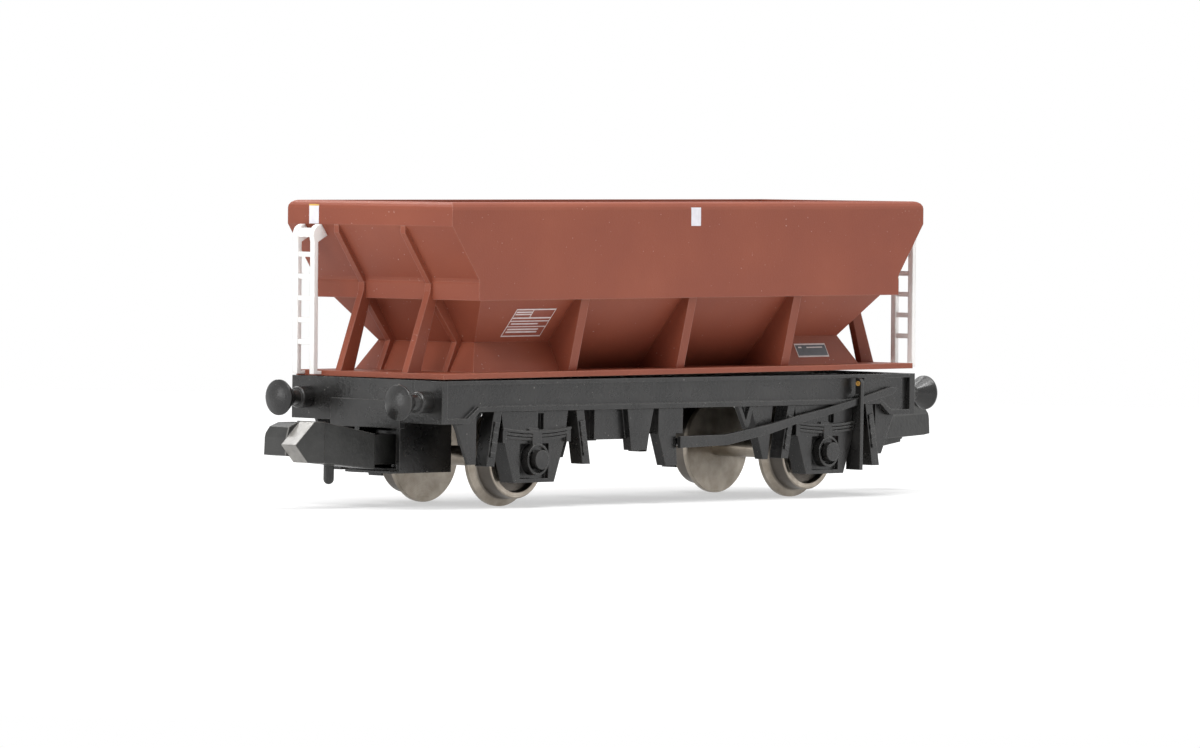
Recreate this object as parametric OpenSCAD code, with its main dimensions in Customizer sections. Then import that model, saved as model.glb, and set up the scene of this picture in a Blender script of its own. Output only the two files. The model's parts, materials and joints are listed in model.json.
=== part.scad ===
// Open hopper wagon, a small-scale model on two wheelsets for 9 mm gauge track.
// +X runs along the wagon towards end B, -Y is its right side, +Z is up.
// The origin lies on the floor, under the middle of the wagon.

/* [Running gear] */
// Distance between the two axles
wheelbase = 34; // [33:0.1:34.2]
// Radius of the wheel flange
flange_r = 3.7; // [3.6:0.05:3.75]
// Radius of the wheel tread
tread_r = 3.1; // [3:0.05:3.2]
// Distance between the two wheel backs of one axle
back_to_back = 7.42; // [7.3:0.02:7.6]
// Width of a wheel, flange and tread together
tyre_w = 2.1; // [1.9:0.05:2.15]

/* [Underframe] */
// Length over the two headstocks
frame_l = 55.2; // [55:0.1:55.6]
// Width over the solebar flanges
frame_w = 15.6; // [15.5:0.05:15.7]
// Height of the top of the underframe above the floor
frame_top = 9.74; // [9.7:0.01:9.8]
// Height of the buffer centres above the floor
buffer_z = 8.12; // [8:0.02:8.2]
// Distance between the two buffer centres of one end
buffer_pitch = 12.4; // [12:0.1:12.6]

/* [Body] */
// Length over the rim of the hopper
rim_l = 55; // [54.8:0.1:55.2]
// Width over the sides of the hopper
rim_w = 17.1; // [16.9:0.1:17.3]
// Height of the rim above the underside of the floor plate
rim_h = 13.3; // [13.1:0.1:13.5]
// Lift of the body's end B, which is not pressed fully home
body_tilt = 0.3; // [0:0.05:0.4]
// Lean of the body over to its left side
body_lean = 0.4; // [0:0.05:0.5]

/* [Couplings] */
// Length over the two coupling heads
coupled_l = 74.4; // [74:0.2:75]
// Upward set of the coupling at end B
coupling_lift = 2.5; // [0:0.5:3]

/* [Hidden] */
$fn = 64;

body_brown = "sienna";
frame_black = "dimgray";
wheel_metal = "darkgray";

axle_z = flange_r;
axle_r = 0.75;
axle_x = wheelbase / 2;
wheel_back = back_to_back / 2;
wheel_face = wheel_back + tyre_w;
flange_w = 0.6;
hub_r = 0.95;
pivot_r = 0.4;
pivot_tip = 7.0;
bearing_gap = 0.06;
bearing_depth = 7.1;

frame_hl = frame_l / 2;
frame_hw = frame_w / 2;
headstock_t = 0.6;
headstock_bottom = 6.5;
web_hl = frame_hl - headstock_t;
web_out = frame_hw - 0.35;
web_in = frame_hw - 0.75;
top_flange_t = 0.3;
low_flange_t = 0.4;
solebar_bottom = 7.38;
step_x = 24.6;
knee_x = 23.45;
floor_top = 9.2;
floor_bottom = 8.6;

plate_hl = 27.4;
plate_hw = 7.65;
plate_t = 0.42;
plate_z = frame_top + plate_hl * sin(body_tilt) + plate_hw * sin(body_lean) + 0.005;
rim_hl = rim_l / 2;
rim_hw = rim_w / 2;
rim_r = 0.58;
wall = 0.7;
band_h = 11.5;
slope_x = 24.25;
beam_x = 24.5;
beam_top_h = 7.12;
panel_h = 5.9;
end_x = 23.35;
side_y = 7.65;
waist_x = 21.15;
waist_y = 5.0;
waist_h = 2.65;
foot_x = 22.5;
foot_y = 6.15;
belly_y = 3.0;
bottom_h = 3.3;
rib_x = 12.4;
rib_t = 0.9;
strut_y = 3.45;
strut_t = 0.58;

ladder_x = rim_hl + 0.55;
stile_y = [5.22, 6.96];
stile_t = 0.46;
stile_d = 0.4;
stile_foot_h = 0.12;
stile_top_h = band_h - 0.02;
rung_pitch = 1.66;
rung_first_h = 2.55;

guard_out = 7.55;
guard_in = 6.15;
gear_out = 7.7;
gear_in = 6.5;
lever_in = frame_hw + 0.03;
lever_out = frame_hw + 0.33;
lever_guard_x = 20.3;

buffer_face = 31.05;
buffer_head_r = 1.36;

hook_x = coupled_l / 2;
pivot_x = 24.2;
pocket_z = 2.6;
pocket_front = 26.3;

// ---------------------------------------------------------------- helpers

// Prism along Y from an outline drawn in X and Z
module prism_y(points, y0, y1) {
    translate([0, y1, 0])
        rotate([90, 0, 0])
            linear_extrude(height = y1 - y0)
                polygon(points);
}

// Prism along X from an outline drawn in Y and Z
module prism_x(points, x0, x1) {
    translate([x0, 0, 0])
        rotate([90, 0, 90])
            linear_extrude(height = x1 - x0)
                polygon(points);
}

// Box between two opposite corners
module block(low, high) {
    translate(low)
        cube(high - low);
}

// Outline made symmetrical about the upright axis, from its right half read downwards
function both_halves(half) = concat(half, [for (i = [len(half) - 1:-1:0]) [-half[i][0], half[i][1]]]);

// Places a piece drawn at end B and on the left side at any other corner
module at_corner(end, side) {
    mirror([end < 0 ? 1 : 0, 0, 0])
        mirror([0, side < 0 ? 1 : 0, 0])
            children();
}

// Turns a piece drawn for the right side of the wagon round to its left side
module turned_round() {
    rotate([0, 0, 180])
        children();
}

// Places what is drawn on the floor plate's own level, with the body's small lift and lean
module on_body() {
    lean_shift = (panel_h + rim_h - rim_r) / 2 * sin(body_lean);
    translate([0, -lean_shift, plate_z])
        rotate([-body_lean, -body_tilt, 0])
            children();
}

// ---------------------------------------------------------------- body

// Rounded top edge of the rim, ending at a given half width
function rim_edge(half) = [
    for (a = [90:-22.5:0]) [half - rim_r + rim_r * cos(a), rim_h - rim_r + rim_r * sin(a)]
];

// Hollow curve where the end slope runs into the end beam
beam_curve = [
    [slope_x + 0.3, beam_top_h + 0.4043], [slope_x + 0.2, beam_top_h + 0.16], [beam_x, beam_top_h]
];

// Outline of the outside of the hopper seen from the side, down to its waist
end_outline = both_halves(concat(rim_edge(rim_hl), [[rim_hl, band_h]], beam_curve, [
    [beam_x, panel_h], [end_x, panel_h], [waist_x, waist_h]
]));

// Outline of the outside of the hopper seen from the end, down to its waist
side_outline = both_halves(concat(rim_edge(rim_hw), [
    [rim_hw, panel_h], [side_y, panel_h], [waist_y, waist_h]
]));

// Outlines of the load space, inside the walls
end_space = both_halves([
    [rim_hl - wall, rim_h + 1], [rim_hl - wall, band_h + 0.1], [waist_x - 0.9, bottom_h]
]);
side_space = both_halves([
    [rim_hw - wall, rim_h + 1], [rim_hw - wall, panel_h + 1.1], [waist_y - 0.4, bottom_h]
]);

module hopper() {
    belly_hl = rib_x + rib_t / 2;
    belly = both_halves([[waist_y, waist_h], [belly_y, plate_t]]);
    color(body_brown)
        on_body()
            difference() {
                union() {
                    intersection() {
                        prism_y(end_outline, -rim_hw, rim_hw);
                        prism_x(side_outline, -rim_hl, rim_hl);
                    }
                    prism_x(belly, -belly_hl, belly_hl);
                }
                intersection() {
                    prism_y(end_space, -rim_hw, rim_hw);
                    prism_x(side_space, -rim_hl, rim_hl);
                }
            }
}

module floor_plate() {
    color(body_brown)
        on_body()
            block([-plate_hl, -plate_hw, 0], [plate_hl, plate_hw, plate_t]);
}

// Flared discharge housing under one end of the hopper
module chute(end) {
    inner_x = rib_x + rib_t / 2;
    end_side = [[inner_x, waist_h], [waist_x, waist_h], [foot_x, plate_t], [inner_x, plate_t]];
    end_face = both_halves([[waist_y, waist_h], [foot_y, plate_t]]);
    color(body_brown)
        on_body()
            at_corner(end, 1)
                intersection() {
                    prism_y(end_side, -foot_y, foot_y);
                    prism_x(end_face, inner_x, foot_x);
                }
}

// Three upright ribs that carry the side panel on the floor plate
module side_ribs(side) {
    web = [
        [rim_hw - 0.15, panel_h], [side_y, panel_h], [waist_y, waist_h], [belly_y, plate_t],
        [7.1, plate_t]
    ];
    color(body_brown)
        on_body()
            for (x = [-rib_x, 0, rib_x])
                at_corner(1, side)
                    prism_x(web, x - rib_t / 2, x + rib_t / 2);
}

// Two ribs on the sloping end sheet
module end_ribs(end) {
    rib = concat([[beam_x + 0.2, beam_top_h], [rim_hl, band_h - 0.6], [rim_hl, band_h]], beam_curve);
    color(body_brown)
        on_body()
            for (side = [-1, 1])
                at_corner(end, side)
                    prism_y(rib, strut_y - 0.24, strut_y + 0.24);
}

// Two sloping struts from the end beam to the floor plate, with the fins behind them
module end_struts(end) {
    strut = [
        [beam_x, beam_top_h], [beam_x + 0.2, beam_top_h], [beam_x + 0.25, panel_h + 0.6],
        [27.2, plate_t], [25.75, plate_t], [beam_x - 0.5, panel_h], [beam_x, panel_h]
    ];
    fin = [
        [end_x, panel_h], [end_x + 1.1, panel_h], [waist_x + 0.6, waist_h], [foot_x + 0.3, plate_t],
        [foot_x, plate_t], [waist_x, waist_h]
    ];
    color(body_brown)
        on_body()
            for (side = [-1, 1])
                at_corner(end, side) {
                    prism_y(strut, strut_y - strut_t / 2, strut_y + strut_t / 2);
                    prism_y(fin, strut_y - 0.25, strut_y + 0.25);
                }
}

// Distance of the end slope from the middle of the hopper, at a height above the floor plate
function end_slope_x(h) = let (toe = beam_curve[0])
    toe[0] + (h - toe[1]) * (rim_hl - toe[0]) / (band_h - toe[1]);

// Upright of a ladder: its round-topped bracket stands against the end slope and its foot
// against the floor plate
module stile() {
    bracket_r = 0.85;
    bracket_h = stile_top_h - bracket_r;
    bracket_foot_h = bracket_h - 0.5;
    bracket_out = 0.32;
    foot_top_h = plate_t - 0.05;
    outline = concat(
        [[plate_hl - ladder_x, stile_foot_h], [stile_d / 2, stile_foot_h], [stile_d / 2, bracket_foot_h]],
        [for (a = [0:15:90]) [bracket_out - bracket_r * (1 - cos(a)), bracket_h + bracket_r * sin(a)]],
        [for (h = [stile_top_h, bracket_h]) [end_slope_x(h) - ladder_x, h]],
        [[-stile_d / 2, bracket_foot_h], [-stile_d / 2, foot_top_h], [plate_hl - ladder_x, foot_top_h]]
    );
    prism_y(outline, -stile_t / 2, stile_t / 2);
}

// The top rung of a ladder is the thickest
function rung_t(i) = i == 5 ? 0.7 : 0.38;

// Ladder at one end, on the left side at end A and on the right side at end B
module ladder(end) {
    color("white")
        on_body()
            at_corner(end, -end) {
                for (y = stile_y)
                    translate([ladder_x, y, 0])
                        stile();
                for (i = [0:5])
                    translate([ladder_x - 0.13, stile_y[0], rung_first_h + i * rung_pitch - rung_t(i) / 2])
                        cube([0.26, stile_y[1] - stile_y[0], rung_t(i)]);
            }
}

// ---------------------------------------------------------------- underframe

module underframe() {
    color(frame_black) {
        block([-web_hl, -web_in, floor_bottom], [web_hl, web_in, floor_top]);
        for (side = [-1, 1])
            at_corner(1, side)
                block([-web_hl, 5.6, floor_top], [web_hl, 5.9, frame_top - 0.1]);
    }
}

// Steel weight that lies closed in between the underframe and the floor plate
module ballast_plate() {
    color("silver")
        block([-22, -5.4, floor_top], [22, 5.4, frame_top - 0.06]);
}

// Solebar with its two flanges, deeper at both ends; drawn for the right side
module solebar() {
    deep = headstock_bottom;
    panel_low = solebar_bottom + low_flange_t;
    panel_top = frame_top - top_flange_t;
    web = both_halves([[web_hl, frame_top], [web_hl, deep], [step_x, deep], [knee_x, solebar_bottom]]);
    end_lip = [
        [web_hl, deep], [step_x, deep], [knee_x, solebar_bottom], [knee_x, panel_low],
        [step_x + 0.15, deep + low_flange_t], [web_hl, deep + low_flange_t]
    ];
    end_panel = [
        [21.4, panel_top], [25.9, panel_top], [26.05, panel_top - 0.2],
        [26.05, deep + low_flange_t + 0.25], [25.8, deep + low_flange_t],
        [step_x + 0.15, deep + low_flange_t], [knee_x, panel_low], [21.4, panel_low]
    ];
    color(frame_black) {
        prism_y(web, -web_out, -web_in);
        block([-web_hl, -frame_hw, panel_top], [web_hl, -web_out, frame_top]);
        block([-knee_x, -frame_hw, solebar_bottom], [knee_x, -web_out, panel_low]);
        for (end = [-1, 1])
            at_corner(end, 1)
                prism_y(end_lip, -frame_hw, -web_out);
        prism_y(end_panel, -frame_hw + 0.06, -web_out);
    }
}

// Headstock across one end, with the thicker and deeper drawgear plate in the middle of it
module headstock(end) {
    plate_bottom = 6.05;
    color(frame_black)
        at_corner(end, 1) {
            block([web_hl, -frame_hw, headstock_bottom], [frame_hl, frame_hw, frame_top]);
            block([web_hl + 0.2, -3.6, plate_bottom], [frame_hl + 0.15, 3.6, 8.15]);
        }
}

// Mushroom-headed buffer, turned as one piece; its axis lies along X
module buffer(end, side) {
    dome_r = 3.2;
    dome_rise = dome_r - sqrt(dome_r * dome_r - buffer_head_r * buffer_head_r);
    head_t = buffer_face - frame_hl;
    color(frame_black)
        at_corner(end, side)
            translate([frame_hl, buffer_pitch / 2, buffer_z])
                rotate([0, 90, 0])
                    rotate_extrude($fn = 64)
                        polygon(concat(
                            [[0, 0], [0.82, 0], [0.82, 1.1], [0.72, 1.2], [0.6, 1.2], [0.52, 1.75],
                             [buffer_head_r, head_t - dome_rise - 0.12],
                             [buffer_head_r, head_t - dome_rise]],
                            [for (a = [1:6]) [buffer_head_r * (1 - a / 6),
                                head_t - dome_r + sqrt(dome_r * dome_r
                                    - pow(buffer_head_r * (1 - a / 6), 2))]]
                        ));
}

// ---------------------------------------------------------------- axleguards

// Axleguard with its leaf spring and axlebox, drawn for end B on the left side; the two that
// stand beside a lever guard are cut short for it
module axleguard(end, side) {
    foot_z = 1.95;
    recess_y = guard_out - 0.35;
    plate = both_halves([[3.75, solebar_bottom], [3.35, 4.95], [2.25, foot_z]]);
    color(frame_black)
        at_corner(end, side)
            translate([axle_x, 0, 0])
                difference() {
                    union() {
                        difference() {
                            prism_y(plate, guard_in, guard_out);
                            block([-1.6, recess_y, foot_z + 0.3], [1.6, guard_out + 1, 4.9]);
                            at_corner(-end * side, 1)
                                block([0.34, recess_y, 5.95], [1.0, guard_out + 1, 7.2]);
                        }
                        leaf_spring(3.8);
                        at_corner(-end * side, 1)
                            block([-0.75, guard_out, 5.85], [0.3, guard_out + 0.15, 6.05]);
                        block([-0.5, recess_y, axle_z + 0.5], [0.5, guard_out + 0.3, 5.85]);
                        axlebox(recess_y);
                    }
                    translate([0, guard_in - 0.01, axle_z])
                        rotate([-90, 0, 0])
                            cylinder(r = pivot_r + bearing_gap, h = bearing_depth - guard_in, $fn = 48);
                    if (end * side < 0)
                        block([lever_guard_x - axle_x - 0.03, 0, 0], [5, frame_hw + 1, frame_top]);
                }
}

// Leaf spring of three leaves, bowed down in the middle, on the axleguard's face
module leaf_spring(half) {
    bow_r = 26;
    leaf_t = 0.2;
    for (i = [0:2])
        intersection() {
            translate([0, guard_out, 5.66 - i * 0.26 + bow_r])
                rotate([-90, 0, 0])
                    difference() {
                        cylinder(r = bow_r, h = 0.3 - i * 0.04, $fn = 96);
                        translate([0, 0, -1])
                            cylinder(r = bow_r - leaf_t, h = 3, $fn = 96);
                    }
            block([-half + i * 0.25, guard_out, 4], [half - i * 0.25, guard_out + 1, 6.6]);
        }
    for (side = [-1, 1])
        at_corner(side, 1)
            block([half - 0.45, guard_out - 0.6, 5.0], [half, guard_out + 0.25, 6.1]);
}

// Axlebox: an open ring with a round cover standing in it
module axlebox(back_y) {
    translate([0, back_y, axle_z])
        rotate([-90, 0, 0]) {
            difference() {
                cylinder(r = 1.2, h = 0.8, $fn = 64);
                translate([0, 0, 0.35])
                    cylinder(r = 1.02, h = 1, $fn = 64);
            }
            cylinder(r = 0.74, h = 1.2, $fn = 64);
        }
}

// ---------------------------------------------------------------- brake gear

// Brake hanger beside a wheel; it leans away from the wheel going down
module brake_hanger(top_x, lean, foot_z) {
    bar_w = 0.85;
    prism_y([
        [top_x - bar_w / 2, solebar_bottom], [top_x + bar_w / 2, solebar_bottom],
        [top_x + lean + bar_w / 2, foot_z], [top_x + lean - bar_w / 2, foot_z]
    ], gear_in, gear_out);
}

// Tapered plate that hangs from the solebar between two heights
module hung_plate(x0, x1, tip0, tip1, top_z, tip_z, y0, y1) {
    prism_y([[x0, top_z], [x1, top_z], [tip1, tip_z], [tip0, tip_z]], y0, y1);
}

// Brake gear below the solebar, drawn for the right side
module brake_gear() {
    end_plate = [
        [knee_x - 0.15, solebar_bottom], [knee_x, solebar_bottom], [step_x, headstock_bottom],
        [25.6, headstock_bottom], [24.1, 3.4], [knee_x - 0.15, 3.4]
    ];
    centre_plate = [
        [-9.8, solebar_bottom], [-9.8, 5.05], [-6.3, 5.05], [-5.95, 5.2], [-5.8, 5.55],
        [-5.8, solebar_bottom]
    ];
    color(frame_black)
        mirror([0, 1, 0]) {
            brake_hanger(-axle_x - 4.3, -0.75, 3.25);
            brake_hanger(-axle_x + 4.95, 0.8, 3.25);
            brake_hanger(axle_x - 4.3, -0.75, 3.25);
            brake_hanger(axle_x + 5.1, 0.95, 2.5);
            for (end = [-1, 1])
                at_corner(end, 1)
                    prism_y(end_plate, web_in, web_out - 0.1);
            prism_y(centre_plate, web_in - 0.4, web_in + 0.1);
            hung_plate(-6.6, -3.6, -6.1, -4.4, solebar_bottom, 4.2, gear_in + 0.4, gear_out);
            hung_plate(8.3, 10.9, 9.8, 10.4, solebar_bottom, 3.2, gear_in, gear_out - 0.4);
            v_hanger();
            block([-3.0, gear_in, 5.4], [-0.2, gear_out, solebar_bottom]);
            hung_plate(-3.0, -1.0, -2.1, -0.8, 5.4, 2.95, gear_in + 0.3, gear_out);
            lever_guard();
        }
}

// Small plate with a forked outline, near the middle of the hand lever
module v_hanger() {
    prism_y([
        [6.3, solebar_bottom], [6.7, solebar_bottom], [7.3, 6.2], [7.7, solebar_bottom],
        [8.1, solebar_bottom], [7.6, 5.6], [7.3, 5.6]
    ], gear_out - 0.4, gear_out);
}

// Upright guard plate with the slot that the hand lever passes through
module lever_guard() {
    slot_low = 7.3;
    slot_high = 8.2;
    guard_t = 0.35;
    guard_edge = lever_out + 0.25;
    plate = [
        [gear_in + 0.45, 2.2], [guard_edge, 2.2], [guard_edge, 9.15], [guard_edge - 0.12, 9.37],
        [guard_edge - 0.3, 9.45], [frame_hw, 9.45], [frame_hw, solebar_bottom],
        [gear_in + 0.45, solebar_bottom]
    ];
    difference() {
        prism_x(plate, lever_guard_x, lever_guard_x + guard_t);
        block([lever_guard_x - 1, frame_hw - 0.01, slot_low],
            [lever_guard_x + 1, lever_out + 0.05, slot_high]);
    }
}

// Long hand lever that rises along the right side towards end B
module brake_lever() {
    lower_edge = [
        [-0.9, 4.3], [4.6, 4.42], [9.9, 5.26], [12.7, 5.92], [16.4, 6.52], [20.7, 7.42], [24.5, 8.1]
    ];
    upper_edge = [
        [25.1, 8.62], [24.3, 8.72], [20.7, 7.92], [16.2, 7.08], [12.5, 6.5], [9.6, 5.95],
        [4.4, 5.25], [-0.9, 5.2]
    ];
    color(frame_black)
        mirror([0, 1, 0]) {
            prism_y(concat(lower_edge, upper_edge), lever_in, lever_out);
            translate([-0.35, gear_out - 0.7, 4.75])
                rotate([-90, 0, 0])
                    cylinder(r = 0.3, h = lever_in - gear_out + 0.7, $fn = 32);
        }
}

// ---------------------------------------------------------------- couplings

// Open-fronted box under the frame that holds the coupling's round tail on a post
module coupler_pocket(end) {
    pocket_back = 20.6;
    skin = 0.35;
    color(frame_black)
        at_corner(end, 1) {
            difference() {
                block([pocket_back, -2.3, pocket_z], [pocket_front, 2.3, floor_bottom]);
                block([pocket_back + 1.3, -2.3 + skin, pocket_z + skin], [28, 2.3 - skin, 6.3]);
            }
            translate([pivot_x, 0, pocket_z])
                cylinder(r = 0.5, h = floor_bottom - pocket_z, $fn = 48);
            block([pocket_front, -2.3, pocket_z], [27.4, 2.3, pocket_z + 0.2]);
        }
}

// Box-headed coupling with a pointed nose, a round tail on the pocket's post and a hanging peg
module coupling(end) {
    head_x = 34.05;
    nose_z = 4.9;
    neck_x = 28.3;
    nose = [
        [head_x, 3.5], [head_x, 6.6], [35.2, 6.6], [hook_x, nose_z], [35.85, 3.55]
    ];
    neck = [[neck_x, 2.95], [neck_x, 5.6], [head_x, 6.6], [head_x, 3.5]];
    flank = [
        [31, 3.95], [31, 6.0], [head_x, 6.5], [35.6, 6.5], [36.35, 6.2], [36.6, 5.35],
        [36.65, 4.05], [35.9, 3.98]
    ];
    flank_end = [[0.4, 3.5], [-1.9, 3.5], [-1.9, 5.7], [-1.45, 6.5], [0.4, 6.5]];
    tail_low = 3.25;
    tail_high = 5.8;
    peg_r = 0.4;
    color(frame_black)
        at_corner(end, end)
            difference() {
                translate([pivot_x, 0, nose_z])
                    rotate([0, end > 0 ? -coupling_lift : 0, 0])
                        translate([-pivot_x, 0, -nose_z]) {
                            prism_y(nose, 0.4, 1.9);
                            prism_y(neck, -1.0, 1.6);
                            intersection() {
                                prism_y(flank, -1.9, 0.4);
                                prism_x(flank_end, 31, 37);
                            }
                            block([pivot_x, -1.05, tail_low], [neck_x, 1.05, tail_high - 0.3]);
                            translate([pivot_x, 0, tail_low])
                                cylinder(r = 1.6, h = tail_high - tail_low, $fn = 64);
                            translate([31.6, 0, 1.8 + peg_r]) {
                                cylinder(r = peg_r, h = 2, $fn = 40);
                                sphere(r = peg_r, $fn = 40);
                            }
                        }
                translate([pivot_x, 0, 0])
                    cylinder(r = 0.57, h = 10, $fn = 48);
            }
}

// ---------------------------------------------------------------- wheels

// Turned axle with a thin pivot at each end
module axle(end) {
    color(wheel_metal)
        translate([end * axle_x, -pivot_tip, axle_z])
            rotate([-90, 0, 0])
                rotate_extrude($fn = 64)
                    polygon([
                        [0, 0], [pivot_r - 0.15, 0], [pivot_r, 0.2], [pivot_r, pivot_tip - wheel_face],
                        [axle_r, pivot_tip - wheel_face], [axle_r, pivot_tip + wheel_face],
                        [pivot_r, pivot_tip + wheel_face], [pivot_r, 2 * pivot_tip - 0.2],
                        [pivot_r - 0.15, 2 * pivot_tip], [0, 2 * pivot_tip]
                    ]);
}

// Disc wheel with a flat back and a dished face
module wheel(end, side) {
    color(wheel_metal)
        translate([end * axle_x, 0, axle_z])
            mirror([0, side < 0 ? 1 : 0, 0])
                translate([0, wheel_back, 0])
                    rotate([-90, 0, 0])
                        rotate_extrude($fn = 96)
                            polygon([
                                [axle_r, 0], [flange_r - 0.06, 0], [flange_r, 0.08], [flange_r, 0.38],
                                [tread_r + 0.1, flange_w], [tread_r, flange_w + 0.12],
                                [tread_r - 0.05, tyre_w - 0.08], [tread_r - 0.12, tyre_w],
                                [tread_r - 0.5, tyre_w], [tread_r - 0.6, tyre_w - 0.5],
                                [hub_r + 0.1, tyre_w - 0.6], [hub_r, tyre_w - 0.1], [axle_r, tyre_w - 0.1]
                            ]);
}

// ---------------------------------------------------------------- nodes

hopper();
floor_plate();
chute(-1);  // chute_a
chute(1);  // chute_b
side_ribs(-1);  // side_ribs_right
side_ribs(1);  // side_ribs_left
end_ribs(-1);  // end_ribs_a
end_ribs(1);  // end_ribs_b
end_struts(-1);  // end_struts_a
end_struts(1);  // end_struts_b
ladder(-1);  // ladder_a
ladder(1);  // ladder_b
underframe();
solebar();  // solebar_right
turned_round() solebar();  // solebar_left
headstock(-1);  // headstock_a
headstock(1);  // headstock_b
ballast_plate();
axleguard(-1, -1);  // axleguard_a_right
axleguard(-1, 1);  // axleguard_a_left
axleguard(1, -1);  // axleguard_b_right
axleguard(1, 1);  // axleguard_b_left
brake_gear();  // brake_gear_right
turned_round() brake_gear();  // brake_gear_left
brake_lever();  // brake_lever_right
turned_round() brake_lever();  // brake_lever_left
coupler_pocket(-1);  // coupler_pocket_a
coupler_pocket(1);  // coupler_pocket_b
coupling(-1);  // coupling_a
coupling(1);  // coupling_b
buffer(-1, -1);  // buffer_a_right
buffer(-1, 1);  // buffer_a_left
buffer(1, -1);  // buffer_b_right
buffer(1, 1);  // buffer_b_left
axle(-1);  // axle_a
axle(1);  // axle_b
wheel(-1, -1);  // wheel_a_right
wheel(-1, 1);  // wheel_a_left
wheel(1, -1);  // wheel_b_right
wheel(1, 1);  // wheel_b_left
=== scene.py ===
# %% [markdown]
# # Open hopper wagon
# A small plastic model of a two-axle hopper wagon. The construction comes from the CAD frame.
# This lesson gives it its finish: matt paint, satin black plastic, turned metal, and the small
# printed panels, and then a camera, lamps and a pale floor.

# %% Loading the frame
import bpy
import json
import math
from mathutils import Matrix, Vector


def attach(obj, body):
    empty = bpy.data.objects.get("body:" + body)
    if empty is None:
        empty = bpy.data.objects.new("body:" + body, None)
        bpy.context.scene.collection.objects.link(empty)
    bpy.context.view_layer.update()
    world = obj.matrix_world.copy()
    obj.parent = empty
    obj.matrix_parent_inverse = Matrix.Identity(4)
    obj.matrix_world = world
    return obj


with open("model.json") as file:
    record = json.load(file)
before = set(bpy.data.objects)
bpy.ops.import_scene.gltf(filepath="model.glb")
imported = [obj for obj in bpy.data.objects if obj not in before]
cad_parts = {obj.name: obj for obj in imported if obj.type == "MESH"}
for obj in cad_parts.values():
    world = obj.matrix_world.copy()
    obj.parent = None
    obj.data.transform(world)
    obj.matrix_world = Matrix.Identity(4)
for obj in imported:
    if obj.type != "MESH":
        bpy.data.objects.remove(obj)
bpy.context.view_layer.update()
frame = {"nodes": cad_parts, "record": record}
bpy.ops.object.select_all(action="DESELECT")
MM = 0.001
print("pieces in the frame:", len(frame["nodes"]))

# %% [markdown]
# ## Camera
# A long lens from far away keeps the wagon's edges almost parallel. The camera stands a little
# above the floor, off one corner of the wagon, and leans over by about one degree.

# %% Camera
CAMERA_PLACE = Vector((-490.3, -438.3, 29.1)) * MM
CAMERA_TARGET = Vector((-0.6, 0.6, 9.73)) * MM
CAMERA_LEAN = math.radians(0.94)
LENS = 253.6


def place_camera():
    back = (CAMERA_PLACE - CAMERA_TARGET).normalized()
    right = Vector((0, 0, 1)).cross(back).normalized()
    up = back.cross(right)
    leaning_right = right * math.cos(CAMERA_LEAN) + up * math.sin(CAMERA_LEAN)
    leaning_up = up * math.cos(CAMERA_LEAN) - right * math.sin(CAMERA_LEAN)
    lens = bpy.data.cameras.new("camera")
    lens.lens = LENS
    lens.sensor_width = 36
    lens.sensor_fit = "HORIZONTAL"
    lens.clip_start = 0.01
    lens.clip_end = 20
    camera = bpy.data.objects.new("camera", lens)
    bpy.context.scene.collection.objects.link(camera)
    turn = Matrix((leaning_right, leaning_up, back)).transposed()
    camera.matrix_world = Matrix.Translation(CAMERA_PLACE) @ turn.to_4x4()
    bpy.context.scene.camera = camera
    return camera


camera = place_camera()
print("camera at", [round(c, 4) for c in camera.location])

# %% [markdown]
# ## A few helpers for materials
# Each finish is a Principled shader with noise that changes its colour, its roughness and its
# bumps. The helpers below add the nodes that every finish needs.

# %% Material helpers


def new_material(name):
    material = bpy.data.materials.new(name)
    material.use_nodes = True
    nodes = material.node_tree.nodes
    shader = nodes["Principled BSDF"]
    place = nodes.new("ShaderNodeTexCoord")
    return material, nodes, material.node_tree.links, shader, place.outputs["Object"]


def noise(nodes, links, place, size_mm, detail=3.0, roughness=0.55):
    """Noise with spots of about this size."""
    node = nodes.new("ShaderNodeTexNoise")
    node.inputs["Scale"].default_value = 1 / (size_mm * MM)
    node.inputs["Detail"].default_value = detail
    node.inputs["Roughness"].default_value = roughness
    links.new(place, node.inputs["Vector"])
    return node.outputs["Fac"]


def ramp(nodes, links, value, stops):
    """Turns a value into a colour through the given stops."""
    node = nodes.new("ShaderNodeValToRGB")
    node.color_ramp.elements[0].position, node.color_ramp.elements[0].color = stops[0]
    node.color_ramp.elements[1].position, node.color_ramp.elements[1].color = stops[-1]
    for position, colour in stops[1:-1]:
        node.color_ramp.elements.new(position).color = colour
    links.new(value, node.inputs["Fac"])
    return node.outputs["Color"]


def mapped(nodes, links, value, low, high):
    """Stretches a 0 to 1 value to the range from low to high."""
    node = nodes.new("ShaderNodeMapRange")
    node.inputs["To Min"].default_value = low
    node.inputs["To Max"].default_value = high
    links.new(value, node.inputs["Value"])
    return node.outputs["Result"]


def between(nodes, links, value, start, full):
    """0 at start and 1 at full, with a straight slope from one to the other."""
    node = nodes.new("ShaderNodeMapRange")
    node.inputs["From Min"].default_value = start
    node.inputs["From Max"].default_value = full
    links.new(value, node.inputs["Value"])
    return node.outputs["Result"]


def bump(nodes, links, height, depth_mm, shader, soft_edge_mm=0.0):
    """Bumps of this depth, over edges that are rounded a little."""
    node = nodes.new("ShaderNodeBump")
    node.inputs["Distance"].default_value = depth_mm * MM
    links.new(height, node.inputs["Height"])
    if soft_edge_mm:
        edge = nodes.new("ShaderNodeBevel")
        edge.samples = 6
        edge.inputs["Radius"].default_value = soft_edge_mm * MM
        links.new(edge.outputs["Normal"], node.inputs["Normal"])
    links.new(node.outputs["Normal"], shader.inputs["Normal"])


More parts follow.
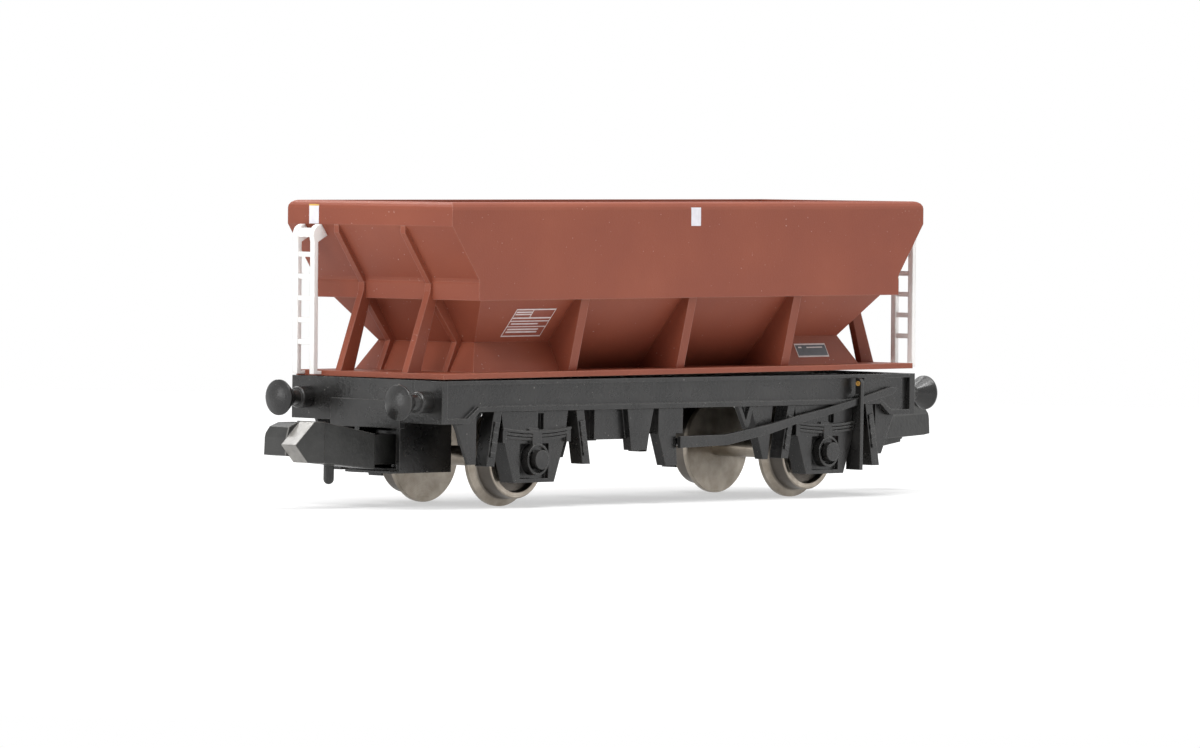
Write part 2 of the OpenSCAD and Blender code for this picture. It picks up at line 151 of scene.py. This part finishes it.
def srgb(red, green, blue):
    """Colour from 0 to 255 screen values."""
    def linear(c):
        c = c / 255
        return c / 12.92 if c <= 0.04045 else ((c + 0.055) / 1.055) ** 2.4
    return (linear(red), linear(green), linear(blue), 1)


# %% [markdown]
# ## Edges with wear and a painted highlight, and dust
# Paint is thinner and worn on sharp edges, and the edges are also lightened as a painted
# highlight, colour that stands in for the light the edges catch. A small model always carries a
# few grains of dust. The edge mask compares the true normal with one rounded by a Bevel node:
# where the two differ, there is an edge. The dust is very fine noise of which only the peaks are
# kept.

# %% Edge mask for wear and painted highlight, and dust
DUST_SIZE = 0.22


def edge_wear_and_highlight_mask(nodes, links, width_mm):
    """0 on flat faces and up to 1 along edges."""
    rounded = nodes.new("ShaderNodeBevel")
    rounded.samples = 6
    rounded.inputs["Radius"].default_value = width_mm * MM
    true_normal = nodes.new("ShaderNodeNewGeometry")
    compare = nodes.new("ShaderNodeVectorMath")
    compare.operation = "DOT_PRODUCT"
    links.new(rounded.outputs["Normal"], compare.inputs[0])
    links.new(true_normal.outputs["Normal"], compare.inputs[1])
    return between(nodes, links, compare.outputs["Value"], 1.0, 0.75)


def peaks(nodes, links, place, size_mm, start, full):
    """Only the peaks of a noise, for dust and specks."""
    spots = noise(nodes, links, place, size_mm, 2.0, 0.4)
    return between(nodes, links, spots, start, full)


def mix_colour(nodes, links, amount, strength, below, above):
    """Lays one colour over another by an amount from 0 to 1."""
    scaled = mapped(nodes, links, amount, 0, strength)
    node = nodes.new("ShaderNodeMix")
    node.data_type = "RGBA"
    links.new(scaled, node.inputs["Factor"])
    links.new(below, node.inputs["A"])
    node.inputs["B"].default_value = above
    return node.outputs["Result"]


# %% [markdown]
# ## Painted body
# The hopper is moulded in plastic and sprayed a flat red-brown. The paint has a fine grain,
# slightly uneven patches, edges that are a little round and paler from wear and from a painted
# highlight, and a few pale grains of dust.

# %% Painted body


def body_paint():
    material, nodes, links, shader, place = new_material("body_paint")
    patches = noise(nodes, links, place, 9.0, 4.0)
    colour = ramp(nodes, links, patches, [
        (0.3, srgb(131, 67, 49)),
        (0.55, srgb(138, 72, 52)),
        (0.75, srgb(145, 78, 57)),
    ])
    # paler edges: worn paint, and a painted highlight laid along every edge
    edges = edge_wear_and_highlight_mask(nodes, links, 0.14)
    colour = mix_colour(nodes, links, edges, 0.3, colour, srgb(204, 152, 134))
    dust = peaks(nodes, links, place, DUST_SIZE, 0.73, 0.8)
    colour = mix_colour(nodes, links, dust, 0.5, colour, srgb(214, 190, 180))
    links.new(colour, shader.inputs["Base Color"])
    grain = noise(nodes, links, place, 0.1, 3.0)
    links.new(mapped(nodes, links, grain, 0.46, 0.6), shader.inputs["Roughness"])
    shader.inputs["Specular IOR Level"].default_value = 0.32
    bump(nodes, links, grain, 0.014, shader, 0.1)
    return material


PAINT = body_paint()
print("body paint nodes:", len(PAINT.node_tree.nodes))

# %% [markdown]
# ## Black chassis plastic
# The chassis is bare black plastic with a satin shine. It looks dark grey where it mirrors the
# pale room and black where it mirrors its own underside. Handling leaves soft, shinier smudges,
# so a wide noise changes the roughness, and a fine one gives the grain of the mould.

# %% Black plastic


def chassis_plastic():
    material, nodes, links, shader, place = new_material("chassis_plastic")
    patches = noise(nodes, links, place, 3.0, 4.0)
    colour = ramp(nodes, links, patches, [
        (0.3, srgb(12, 12, 12)),
        (0.7, srgb(38, 37, 36)),
    ])
    # paler edges: a painted highlight along every edge, with a little wear
    edges = edge_wear_and_highlight_mask(nodes, links, 0.1)
    colour = mix_colour(nodes, links, edges, 0.25, colour, srgb(112, 110, 106))
    dust = peaks(nodes, links, place, DUST_SIZE, 0.74, 0.8)
    colour = mix_colour(nodes, links, dust, 0.45, colour, srgb(196, 192, 186))
    links.new(colour, shader.inputs["Base Color"])
    smudges = noise(nodes, links, place, 1.4, 3.0)
    links.new(mapped(nodes, links, smudges, 0.14, 0.44), shader.inputs["Roughness"])
    grain = noise(nodes, links, place, 0.3, 3.0)
    bump(nodes, links, grain, 0.022, shader, 0.1)
    return material


BLACK = chassis_plastic()
print("chassis plastic nodes:", len(BLACK.node_tree.nodes))

# %% [markdown]
# ## Couplings with a painted highlight
# The couplings are the same black plastic, but the slanting front of each nose carries a painted
# highlight: a pale patch that stands in for a reflection on the facets. The mask keeps the faces
# that look along the wagon, on the side of the nose that stands out: there X and Y have the same
# sign, so their product is positive.

# %% Painted highlight on the couplings
NOSE_START, NOSE_FULL = 34.8 * MM, 35.3 * MM
NOSE_SIDE_START, NOSE_SIDE_FULL = 0.8e-5, 1.5e-5


def math_node(nodes, links, operation, value, second=0.0):
    node = nodes.new("ShaderNodeMath")
    node.operation = operation
    links.new(value, node.inputs[0])
    node.inputs[1].default_value = second
    return node.outputs["Value"]


def multiply(nodes, links, one, other):
    node = nodes.new("ShaderNodeMath")
    node.operation = "MULTIPLY"
    links.new(one, node.inputs[0])
    links.new(other, node.inputs[1])
    return node.outputs["Value"]


def painted_nose_highlight(nodes, links, place):
    normal = nodes.new("ShaderNodeNewGeometry")
    looks = nodes.new("ShaderNodeSeparateXYZ")
    links.new(normal.outputs["Normal"], looks.inputs["Vector"])
    forward = math_node(nodes, links, "ABSOLUTE", looks.outputs["X"])
    split = nodes.new("ShaderNodeSeparateXYZ")
    links.new(place, split.inputs["Vector"])
    far_out = math_node(nodes, links, "ABSOLUTE", split.outputs["X"])
    side = multiply(nodes, links, split.outputs["X"], split.outputs["Y"])
    mask = multiply(nodes, links, between(nodes, links, forward, 0.4, 0.6),
                    between(nodes, links, far_out, NOSE_START, NOSE_FULL))
    return multiply(nodes, links, mask,
                    between(nodes, links, side, NOSE_SIDE_START, NOSE_SIDE_FULL))


def coupling_plastic():
    material, nodes, links, shader, place = new_material("coupling_plastic")
    patches = noise(nodes, links, place, 1.2, 4.0)
    colour = ramp(nodes, links, patches, [
        (0.3, srgb(24, 24, 23)),
        (0.7, srgb(42, 42, 40)),
    ])
    # painted highlight: a pale patch on the front of the nose, broken up by noise
    nose_highlight_noise = noise(nodes, links, place, 0.9, 4.0)
    nose_highlight = multiply(nodes, links, painted_nose_highlight(nodes, links, place),
                    mapped(nodes, links, nose_highlight_noise, 0.35, 1.2))
    colour = mix_colour(nodes, links, nose_highlight, 0.8, colour, srgb(150, 147, 142))
    # paler edges: a painted highlight along every edge, with a little wear
    edges = edge_wear_and_highlight_mask(nodes, links, 0.14)
    colour = mix_colour(nodes, links, edges, 0.4, colour, srgb(132, 130, 126))
    links.new(colour, shader.inputs["Base Color"])
    smudges = noise(nodes, links, place, 1.4, 3.0)
    links.new(mapped(nodes, links, smudges, 0.25, 0.5), shader.inputs["Roughness"])
    grain = noise(nodes, links, place, 0.3, 3.0)
    bump(nodes, links, grain, 0.02, shader, 0.14)
    return material


COUPLING = coupling_plastic()
print("coupling plastic nodes:", len(COUPLING.node_tree.nodes))

# %% [markdown]
# ## Turned wheel metal
# The wheels are turned on a lathe. A lathe leaves fine rings round the
# axle, so the bump here follows the distance from the axle's own axis. Both axles are the same
# distance from the middle of the wagon, so the length of X serves both of them. A painted shade
# darkens the tread and the dish of each wheel, where the axleguards shade them, and leaves the
# flange and the rim bright. The edges are lightened as a painted highlight.

# %% Wheel metal
AXLE_X = 17.0
AXLE_Z = 3.7
TREAD_IN, TREAD_OUT = 4.28, 5.76
TREAD_FADE = 0.14


def turning_marks(nodes, links, place, pitch_mm):
    """Rings round the two axles."""
    split = nodes.new("ShaderNodeSeparateXYZ")
    links.new(place, split.inputs["Vector"])
    along = math_node(nodes, links, "ABSOLUTE", split.outputs["X"])
    along = math_node(nodes, links, "SUBTRACT", along, AXLE_X * MM)
    height = math_node(nodes, links, "SUBTRACT", split.outputs["Z"], AXLE_Z * MM)
    joined = nodes.new("ShaderNodeCombineXYZ")
    links.new(along, joined.inputs["X"])
    links.new(height, joined.inputs["Z"])
    distance = nodes.new("ShaderNodeVectorMath")
    distance.operation = "LENGTH"
    links.new(joined.outputs["Vector"], distance.inputs[0])
    per_metre = 2 * math.pi / (pitch_mm * MM)
    turns = math_node(nodes, links, "MULTIPLY", distance.outputs["Value"], per_metre)
    return math_node(nodes, links, "SINE", turns)


def painted_tread_shade(nodes, links, place):
    """1 from the flange to just short of the wheel's outer face, on both sides."""
    split = nodes.new("ShaderNodeSeparateXYZ")
    links.new(place, split.inputs["Vector"])
    out = math_node(nodes, links, "ABSOLUTE", split.outputs["Y"])
    past_flange = between(nodes, links, out, TREAD_IN * MM, (TREAD_IN + TREAD_FADE) * MM)
    short_of_face = between(nodes, links, out, TREAD_OUT * MM, (TREAD_OUT - TREAD_FADE) * MM)
    return multiply(nodes, links, past_flange, short_of_face)


def turned_metal():
    material, nodes, links, shader, place = new_material("turned_metal")
    shader.inputs["Metallic"].default_value = 0.9
    patches = noise(nodes, links, place, 1.2, 4.0)
    colour = ramp(nodes, links, patches, [
        (0.3, srgb(140, 131, 119)),
        (0.7, srgb(176, 167, 155)),
    ])
    # painted shade: a darker colour on the tread and in the dish, under the axleguards
    tread = painted_tread_shade(nodes, links, place)
    colour = mix_colour(nodes, links, tread, 0.85, colour, srgb(84, 80, 76))
    # paler edges: a painted highlight along every edge, with a little wear
    edges = edge_wear_and_highlight_mask(nodes, links, 0.08)
    colour = mix_colour(nodes, links, edges, 0.4, colour, srgb(205, 198, 188))
    links.new(colour, shader.inputs["Base Color"])
    grain = noise(nodes, links, place, 0.25, 3.0)
    links.new(mapped(nodes, links, grain, 0.24, 0.4), shader.inputs["Roughness"])
    bump(nodes, links, turning_marks(nodes, links, place, 0.12), 0.004, shader, 0.08)
    return material


METAL = turned_metal()
print("wheel metal nodes:", len(METAL.node_tree.nodes))

# %% [markdown]
# ## White ladders
# The ladders are thin mouldings painted white, with a slightly uneven coat and soft edges.

# %% Ladder white


def ladder_white():
    material, nodes, links, shader, place = new_material("ladder_white")
    patches = noise(nodes, links, place, 1.5, 3.0)
    colour = ramp(nodes, links, patches, [
        (0.3, srgb(244, 242, 239)),
        (0.7, srgb(251, 250, 248)),
    ])
    links.new(colour, shader.inputs["Base Color"])
    grain = noise(nodes, links, place, 0.15, 2.0)
    links.new(mapped(nodes, links, grain, 0.4, 0.55), shader.inputs["Roughness"])
    bump(nodes, links, grain, 0.01, shader, 0.12)
    return material


WHITE = ladder_white()
print("ladder white nodes:", len(WHITE.node_tree.nodes))

# %% [markdown]
# ## Giving every frame piece its finish
# The record names a material slot for each piece, so the finishes are handed out by slot.

# %% Giving every frame piece its finish
FINISH_BY_SLOT = {
    "body_plastic": PAINT,
    "frame_plastic": BLACK,
    "ladder_plastic": WHITE,
    "wheel_metal": METAL,
    "ballast_steel": METAL,
}


def finish_frame():
    for part in frame["record"]["subparts"]:
        node = frame["nodes"][part["node"]]
        finish = FINISH_BY_SLOT[part["material_slot"]]
        if part["node"].startswith("coupling_"):
            finish = COUPLING
        for slot in node.material_slots:
            slot.material = finish


finish_frame()

# %% [markdown]
# ## Printed inks
# The small panels and tags are printed on film. The ink and the film get their own finishes:
# a semi-gloss white, a dark plate, a film in the body's own colour, a yellow stripe and a
# touch of brass paint. A little noise keeps each of them from being one flat colour.

# %% Printed inks


def film(name, low, high, rough_low, rough_high):
    material, nodes, links, shader, place = new_material(name)
    patches = noise(nodes, links, place, 0.5, 3.0)
    links.new(ramp(nodes, links, patches, [(0.3, low), (0.7, high)]), shader.inputs["Base Color"])
    grain = noise(nodes, links, place, 0.12, 2.0)
    links.new(mapped(nodes, links, grain, rough_low, rough_high), shader.inputs["Roughness"])
    bump(nodes, links, grain, 0.006, shader)
    return material


INK_WHITE = film("ink_white", srgb(206, 196, 194), srgb(222, 214, 213), 0.4, 0.5)
TAG_WHITE = film("tag_white", srgb(222, 219, 226), srgb(234, 232, 238), 0.4, 0.5)
PANEL_FILM = film("panel_film", srgb(132, 68, 52), srgb(140, 74, 58), 0.42, 0.55)
PLATE_FILM = film("plate_film", srgb(44, 46, 52), srgb(56, 59, 66), 0.35, 0.45)
INK_YELLOW = film("ink_yellow", srgb(214, 172, 84), srgb(226, 188, 104), 0.4, 0.5)
BRASS_PAINT = film("brass_paint", srgb(150, 112, 48), srgb(176, 136, 66), 0.3, 0.45)
INKS = (INK_WHITE, TAG_WHITE, PANEL_FILM, PLATE_FILM, INK_YELLOW, BRASS_PAINT)
print("inks:", len(INKS))

# %% [markdown]
# ## Where the body stands
# On this model the body sits a little high at end B and leans a little to its left, so
# whatever is printed on it has to follow. One matrix carries points from the body's own level
# to the wagon's frame. The second matrix turns the whole wagon half a turn, because its left
# side is the right side turned round.

# %% Where the body stands
BODY_TILT = math.radians(0.3)
BODY_LEAN = math.radians(0.4)
FRAME_TOP = 9.74
PLATE_HALF_L, PLATE_HALF_W = 27.4, 7.65
PLATE_GAP = 0.005
SIDE_MIDDLE_H = 9.31
PLATE_Z = (
    FRAME_TOP + PLATE_HALF_L * math.sin(BODY_TILT) + PLATE_HALF_W * math.sin(BODY_LEAN) + PLATE_GAP
)
LEAN_SHIFT = SIDE_MIDDLE_H * math.sin(BODY_LEAN)
BODY = (
    Matrix.Translation((0, -LEAN_SHIFT * MM, PLATE_Z * MM))
    @ Matrix.Rotation(-BODY_TILT, 4, "Y")
    @ Matrix.Rotation(-BODY_LEAN, 4, "X")
)
HALF_TURN = Matrix.Rotation(math.pi, 4, "Z")
print("body level above the floor (mm):", round(PLATE_Z, 3))


def facing(centre, across, up):
    """Matrix that lays a plate, drawn flat, on a face of the body."""
    across = Vector(across).normalized()
    up = Vector(up).normalized()
    outward = across.cross(up)
    turn = Matrix((across, up, outward)).transposed().to_4x4()
    return Matrix.Translation(Vector(centre) * MM) @ turn


# %% [markdown]
# ## Printed plates
# A printed plate starts as one flat face. It is bisected along the edges of every printed
# strip, thickened by an extrude, and the printed strips are extruded a hair further, so the
# ink really stands on the film. The strips are plain bars with no lettering.

# %% Printed plates
FILM_DEPTH = 0.05
INK_DEPTH = 0.008


def pick_faces(piece, wanted):
    """Selects, in edit mode, the faces for which wanted(centre, normal) is true."""
    bpy.ops.object.mode_set(mode="EDIT")
    bpy.ops.mesh.select_mode(type="FACE")
    bpy.ops.mesh.select_all(action="DESELECT")
    bpy.ops.object.mode_set(mode="OBJECT")
    for face in piece.data.polygons:
        face.select = wanted(face.center, face.normal)
    bpy.ops.object.mode_set(mode="EDIT")


def is_printed(centre, strips):
    u, v = centre.x / MM, centre.y / MM
    slack = 0.001
    return any(
        left - slack <= u <= right + slack and low - slack <= v <= high + slack
        for left, low, right, high in strips
    )


def printed_plate(name, width, height, strips, ink, ground, matrix, proud=0.02):
    bpy.ops.mesh.primitive_plane_add(size=1)
    plate = bpy.context.object
    plate.name = name
    plate.scale = (width * MM, height * MM, 1)
    bpy.ops.object.transform_apply(scale=True)
    cuts = [(0, u) for s in strips for u in (s[0], s[2])]
    cuts += [(1, v) for s in strips for v in (s[1], s[3])]
    bpy.ops.object.mode_set(mode="EDIT")
    for axis, place in sorted(set(cuts)):
        bpy.ops.mesh.select_all(action="SELECT")
        point = [0, 0, 0]
        point[axis] = place * MM
        normal = [0, 0, 0]
        normal[axis] = 1
        bpy.ops.mesh.bisect(plane_co=point, plane_no=normal, threshold=1e-7)
    bpy.ops.mesh.select_all(action="SELECT")
    bpy.ops.mesh.extrude_region_move(TRANSFORM_OT_translate={"value": (0, 0, FILM_DEPTH * MM)})
    if strips:
        pick_faces(plate, lambda c, n: c.z > FILM_DEPTH * MM * 0.9 and is_printed(c, strips))
        bpy.ops.mesh.extrude_region_move(TRANSFORM_OT_translate={"value": (0, 0, INK_DEPTH * MM)})
    bpy.ops.mesh.select_all(action="SELECT")
    bpy.ops.mesh.normals_make_consistent(inside=False)
    bpy.ops.object.mode_set(mode="OBJECT")
    plate.data.materials.append(ground)
    plate.data.materials.append(ink)
    for face in plate.data.polygons:
        face.material_index = 1 if strips and is_printed(face.center, strips) else 0
    plate.matrix_world = matrix @ Matrix.Translation((0, 0, (proud - FILM_DEPTH) * MM))
    bpy.ops.object.transform_apply(location=True, rotation=True, scale=True)
    plate.select_set(False)
    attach(plate, "wagon")
    return plate


def frame_strips(width, height, side, cap):
    """The four strips of a printed outline."""
    w, h = width / 2, height / 2
    return [
        (-w, h - cap, w, h), (-w, -h, w, -h + cap),
        (-w, -h, -w + side, h), (w - side, -h, w, h),
    ]


# %% [markdown]
# ## Data panel, plate and tags
# Each side carries an outlined panel on its lower slope, a dark plate on the discharge
# housing and a white tag on the rim, and each end has a tag above its ladder. They are all
# left blank but for plain bars.

# %% Data panel, plate and tags
SLOPE_UP = (0, -2.65, 3.25)
PANEL_W, PANEL_H = 4.4, 2.75
PANEL_STRIPS = frame_strips(PANEL_W, PANEL_H, 0.06, 0.11) + [
    (-2.2, 0.42, 2.2, 0.54), (-2.2, 0.12, 2.2, 0.22), (-2.2, -0.42, 2.2, -0.34),
    (-2.05, 1.0, -0.3, 1.12), (-2.05, 0.78, -0.3, 0.9), (-0.3, 0.54, -0.22, 1.27),
    (-1.9, -0.16, 1.1, -0.04), (-1.95, -0.72, 1.5, -0.58), (-1.95, -0.98, 1.5, -0.84),
]
HOUSING_UP = (0, 1.15, 2.23)
PLATE_W, PLATE_H = 3.7, 1.17
PLATE_STRIPS = frame_strips(PLATE_W, PLATE_H, 0.06, 0.12) + [
    (-1.5, 0.2, -1.1, 0.32), (-0.5, 0.2, 1.4, 0.3),
]
END_STRIPE = (-0.5, 0.62, 0.5, 0.74)


def side_prints(side, turn):
    return [
        printed_plate("data_panel_" + side, PANEL_W, PANEL_H, PANEL_STRIPS, INK_WHITE, PANEL_FILM,
                      turn @ BODY @ facing((-16.45, -6.21, 4.13), (1, 0, 0), SLOPE_UP)),
        printed_plate("housing_plate_" + side, PLATE_W, PLATE_H, PLATE_STRIPS,
                      INK_WHITE, PLATE_FILM,
                      turn @ BODY @ facing((17.4, -5.577, 1.53), (1, 0, 0), HOUSING_UP)),
        printed_plate("rim_tag_" + side, 1.12, 1.42, [], TAG_WHITE, TAG_WHITE,
                      turn @ BODY @ facing((0.09, -8.55, 12.15), (1, 0, 0), (0, 0, 1)), 0.004),
    ]


def end_tag(end, turn):
    return printed_plate("end_tag_" + end, 1.0, 1.48, [END_STRIPE], INK_YELLOW, TAG_WHITE,
                         turn @ BODY @ facing((-27.5, 5.78, 12.26), (0, -1, 0), (0, 0, 1)))


prints = side_prints("right", Matrix.Identity(4)) + side_prints("left", HALF_TURN)
prints += [end_tag("a", Matrix.Identity(4)), end_tag("b", HALF_TURN)]
for piece in prints:
    size = [round(c / MM, 2) for c in piece.dimensions]
    print(piece.name, size, "faces", len(piece.data.polygons))

# %% [markdown]
# ## Ribbed shoes on the brake hangers
# The front of each brake hanger carries the edge of its shoe, moulded as a row of small
# steps. One grid is laid on the hanger, every other row of faces is extruded, and a bevel
# rounds the steps. Each finished strip is then copied, half a turn round, to the left side.

# %% Ribbed shoes
SHOE_ROWS = 7
SHOE_TOP, SHOE_FOOT = 6.6, 3.9
SHOE_WIDTH, SHOE_DEPTH = 0.5, 0.05
SHOE_FACE_Y = -7.72
SOLEBAR_BOTTOM = 7.38


def ribbed_shoe(name, top_x, foot_x, foot_z):
    """Ribbed strip on a hanger of the right side that leans from top_x to foot_x."""
    def middle(z):
        return top_x + (foot_x - top_x) * (SOLEBAR_BOTTOM - z) / (SOLEBAR_BOTTOM - foot_z)

    bpy.ops.mesh.primitive_grid_add(x_subdivisions=1, y_subdivisions=SHOE_ROWS, size=1)
    shoe = bpy.context.object
    shoe.name = name
    shoe.scale = (SHOE_WIDTH * MM, (SHOE_TOP - SHOE_FOOT) * MM, 1)
    bpy.ops.object.transform_apply(scale=True)
    row = (SHOE_TOP - SHOE_FOOT) / SHOE_ROWS * MM
    lowest = -(SHOE_TOP - SHOE_FOOT) / 2 * MM
    bpy.ops.object.mode_set(mode="EDIT")
    bpy.ops.mesh.select_all(action="SELECT")
    step = {"value": (0, 0, SHOE_DEPTH * MM)}
    bpy.ops.mesh.extrude_region_move(TRANSFORM_OT_translate=step)
    pick_faces(shoe, lambda c, n: (n.z > 0.9 and c.z > 0.8 * SHOE_DEPTH * MM
                                   and int((c.y - lowest) / row) % 2 == 0))
    bpy.ops.mesh.extrude_region_move(TRANSFORM_OT_translate=step)
    bpy.ops.mesh.select_all(action="SELECT")
    bpy.ops.mesh.normals_make_consistent(inside=False)
    bpy.ops.object.mode_set(mode="OBJECT")
    soften = shoe.modifiers.new("soften", "BEVEL")
    soften.width = 0.03 * MM
    soften.segments = 2
    bpy.ops.object.modifier_apply(modifier="soften")
    shoe.data.materials.append(BLACK)
    top, foot = middle(SHOE_TOP), middle(SHOE_FOOT)
    up = (top - foot, 0, SHOE_TOP - SHOE_FOOT)
    across = Vector((SHOE_TOP - SHOE_FOOT, 0, foot - top))
    centre = ((top + foot) / 2, SHOE_FACE_Y, (SHOE_TOP + SHOE_FOOT) / 2)
    shoe.matrix_world = facing(centre, across, up)
    bpy.ops.object.transform_apply(location=True, rotation=True, scale=True)
    shoe.select_set(False)
    return shoe


def turned_copy(piece, name):
    """The same piece with its own mesh, turned half a turn round the wagon's middle."""
    copy = piece.copy()
    copy.data = piece.data.copy()
    copy.name = name
    copy.data.transform(HALF_TURN)
    bpy.context.scene.collection.objects.link(copy)
    return copy


HANGERS = {
    "a_outer": (-AXLE_X - 4.3, -AXLE_X - 5.05, 3.25),
    "a_inner": (-AXLE_X + 4.95, -AXLE_X + 5.75, 3.25),
    "b_inner": (AXLE_X - 4.3, AXLE_X - 5.05, 3.25),
    "b_outer": (AXLE_X + 5.1, AXLE_X + 6.05, 2.5),
}
for place, (top_x, foot_x, foot_z) in HANGERS.items():
    right = ribbed_shoe("shoe_" + place + "_right", top_x, foot_x, foot_z)
    left = turned_copy(right, "shoe_" + place + "_left")
    for piece in (right, left):
        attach(piece, "wagon")
print("ribbed shoes:", 2 * len(HANGERS), "faces each", len(right.data.polygons))

# %% [markdown]
# ## Brass spot on the lever guard
# A pin end shows brass-coloured near the top of each lever guard. It starts as a short
# cylinder; its outer face is inset and pushed in, and the rim is bevelled.

# %% Brass spot
PIN_R, PIN_DEPTH = 0.2, 0.12
PIN_PLACE = (20.26, -8.08, 9.02)


def lever_pin(name):
    bpy.ops.mesh.primitive_cylinder_add(vertices=24, radius=PIN_R * MM, depth=PIN_DEPTH * MM)
    pin = bpy.context.object
    pin.name = name
    pick_faces(pin, lambda c, n: n.z > 0.9)
    bpy.ops.mesh.inset(thickness=0.07 * MM)
    bpy.ops.mesh.extrude_region_move(TRANSFORM_OT_translate={"value": (0, 0, -0.05 * MM)})
    bpy.ops.object.mode_set(mode="OBJECT")
    soften = pin.modifiers.new("soften", "BEVEL")
    soften.width = 0.02 * MM
    soften.segments = 2
    bpy.ops.object.modifier_apply(modifier="soften")
    pin.data.materials.append(BRASS_PAINT)
    pin.matrix_world = facing(PIN_PLACE, (0, -1, 0), (0, 0, 1))
    bpy.ops.object.transform_apply(location=True, rotation=True, scale=True)
    pin.select_set(False)
    return pin


pin_right = lever_pin("lever_pin_right")
pin_left = turned_copy(pin_right, "lever_pin_left")
for piece in (pin_right, pin_left):
    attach(piece, "wagon")
print("lever pins:", 2)

# %% [markdown]
# ## Floor
# The wagon stands on a pale floor that runs out of sight into a white room. Part of what the
# floor shows is a glow, which only the camera and shiny or clear surfaces see. So it looks
# white without throwing more light on the wagon, and it still takes the wagon's soft shadow.

# %% Floor
FLOOR_SIZE = 3.0
FLOOR_GLOW = 0.42
FLOOR_GREY = 0.82
GLOW_STRENGTH = 1.25


def seen_directly(nodes, links):
    """1 for what the camera sees, itself or in a shiny or clear surface, and 0 for other light."""
    ray = nodes.new("ShaderNodeLightPath")
    seen = ray.outputs["Is Camera Ray"]
    for kind in ("Is Glossy Ray", "Is Transmission Ray"):
        either = nodes.new("ShaderNodeMath")
        either.operation = "MAXIMUM"
        links.new(seen, either.inputs[0])
        links.new(ray.outputs[kind], either.inputs[1])
        seen = either.outputs["Value"]
    return seen


def pale_floor():
    bpy.ops.mesh.primitive_plane_add(size=FLOOR_SIZE)
    floor = bpy.context.object
    floor.name = "floor"
    material, nodes, links, shader, place = new_material("floor_white")
    shader.inputs["Base Color"].default_value = (FLOOR_GREY, FLOOR_GREY, FLOOR_GREY, 1)
    shader.inputs["Roughness"].default_value = 0.8
    glow = nodes.new("ShaderNodeEmission")
    glow.inputs["Color"].default_value = (1, 1, 1, 1)
    glow.inputs["Strength"].default_value = GLOW_STRENGTH
    lit = nodes.new("ShaderNodeMixShader")
    seen = seen_directly(nodes, links)
    links.new(mapped(nodes, links, seen, 0, FLOOR_GLOW), lit.inputs["Fac"])
    links.new(shader.outputs["BSDF"], lit.inputs[1])
    links.new(glow.outputs["Emission"], lit.inputs[2])
    # far from the wagon the floor fades into the white room
    away = nodes.new("ShaderNodeTexGradient")
    away.gradient_type = "SPHERICAL"
    reach = nodes.new("ShaderNodeMapping")
    reach.inputs["Scale"].default_value = (4, 4, 4)
    links.new(place, reach.inputs["Vector"])
    links.new(reach.outputs["Vector"], away.inputs["Vector"])
    clear = nodes.new("ShaderNodeBsdfTransparent")
    blend = nodes.new("ShaderNodeMixShader")
    links.new(mapped(nodes, links, away.outputs["Fac"], 0, 2.5), blend.inputs["Fac"])
    links.new(clear.outputs["BSDF"], blend.inputs[1])
    links.new(lit.outputs["Shader"], blend.inputs[2])
    links.new(blend.outputs["Shader"], nodes["Material Output"].inputs["Surface"])
    floor.data.materials.append(material)
    floor.select_set(False)
    return floor


floor = pale_floor()
print("floor across (m):", round(floor.dimensions.x, 2))

# %% [markdown]
# ## Lamps
# Six large round lamps give soft studio light: the key lights end A and the near side from
# above, a weak low one lights end A from its far side, two fill the near side, one hangs
# overhead for the rims, and one behind gives the black plastic its bright edges.

# %% Lamps


LAMP_AIM = Vector((0, 0, 0.012))


def lamp(name, place, size, power):
    light = bpy.data.lights.new(name, "AREA")
    light.shape = "DISK"
    light.size = size
    light.energy = power
    holder = bpy.data.objects.new(name, light)
    holder.location = place
    holder.rotation_euler = (LAMP_AIM - Vector(place)).to_track_quat("-Z", "Y").to_euler()
    bpy.context.scene.collection.objects.link(holder)
    print(name, "at", place, "m,", power, "W")


lamp("key", (-0.8, -0.25, 0.65), 0.5, 6.0)
lamp("end", (-0.85, 0.4, 0.1), 0.4, 1.2)
lamp("fill", (0.0, -0.42, 1.0), 0.45, 5.2)
lamp("side", (0.8, -0.5, 0.3), 0.5, 0.9)
lamp("top", (0, 0, 1.0), 0.8, 6)
lamp("back", (0.1, 0.8, 0.85), 0.5, 5)

# %% [markdown]
# ## White room
# The world is a white room. The camera and the glossy surfaces see it at full white, and it
# gives the wagon a weaker, even light, so that the lamps still model its shape.

# %% White room
ROOM_LIGHT = 0.15


def white_room():
    world = bpy.data.worlds.new("room")
    bpy.context.scene.world = world
    world.use_nodes = True
    nodes = world.node_tree.nodes
    links = world.node_tree.links
    back = nodes["Background"]
    back.inputs["Color"].default_value = (1, 1, 1, 1)
    seen = seen_directly(nodes, links)
    links.new(mapped(nodes, links, seen, ROOM_LIGHT, 1.0), back.inputs["Strength"])


white_room()
bpy.context.scene.view_settings.view_transform = "Standard"
print("room light:", ROOM_LIGHT)
